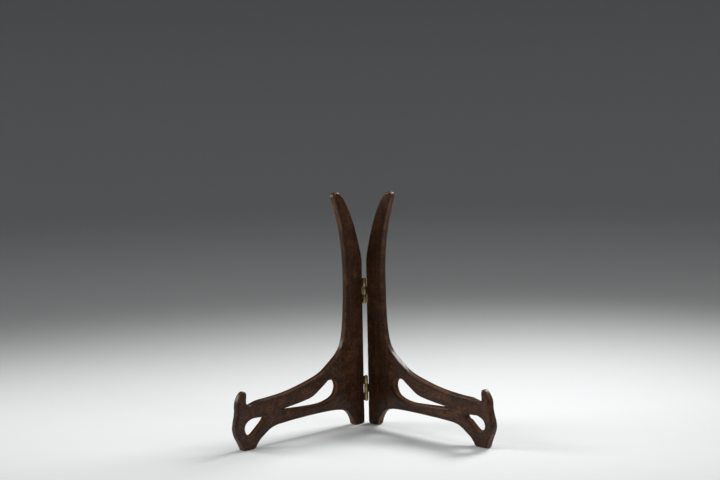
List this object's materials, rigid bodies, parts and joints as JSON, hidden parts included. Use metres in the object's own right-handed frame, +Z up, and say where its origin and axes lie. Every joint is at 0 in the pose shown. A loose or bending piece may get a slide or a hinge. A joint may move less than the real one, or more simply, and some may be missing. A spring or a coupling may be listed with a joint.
{
  "type": "folding plate display stand",
  "caption": "Folding wooden stand that holds a plate upright: fretted leaves with hooked front feet and curved horns, hinged along their rear edges.",
  "frame": {"origin": "middle of the open stand's footprint, at floor level", "axes": "+Z up, -Y towards the viewer and the plate's face, +X to the viewer's right, with the leaves open at 90 degrees"},
  "size_m": [0.2638, 0.1297, 0.248],
  "materials": {
    "stained_wood": "satin dark brown stain, rubbed at the edges",
    "dowel_wood": "plain turned hardwood",
    "aged_brass": "dulled, unlacquered"
  },
  "bodies": {
    "left_leaf": {"left_upright": "stained_wood", "left_bracket": "stained_wood", "left_dowels": "dowel_wood", "upper_hinge_left_leaf": "aged_brass", "lower_hinge_left_leaf": "aged_brass", "upper_hinge_pin": "aged_brass", "lower_hinge_pin": "aged_brass", "upper_hinge_left_screws": "aged_brass", "lower_hinge_left_screws": "aged_brass"},
    "right_leaf": {"right_upright": "stained_wood", "right_bracket": "stained_wood", "right_dowels": "dowel_wood", "upper_hinge_right_leaf": "aged_brass", "lower_hinge_right_leaf": "aged_brass", "upper_hinge_right_screws": "aged_brass", "lower_hinge_right_screws": "aged_brass"}
  },
  "joints": [
    {"name": "leaf_fold", "type": "hinge", "parent": "left_leaf", "child": "right_leaf", "pos_m": [0, 0.05855, 0], "axis": [0, 0, 1], "range_deg": [-90, 90]}
  ]
}
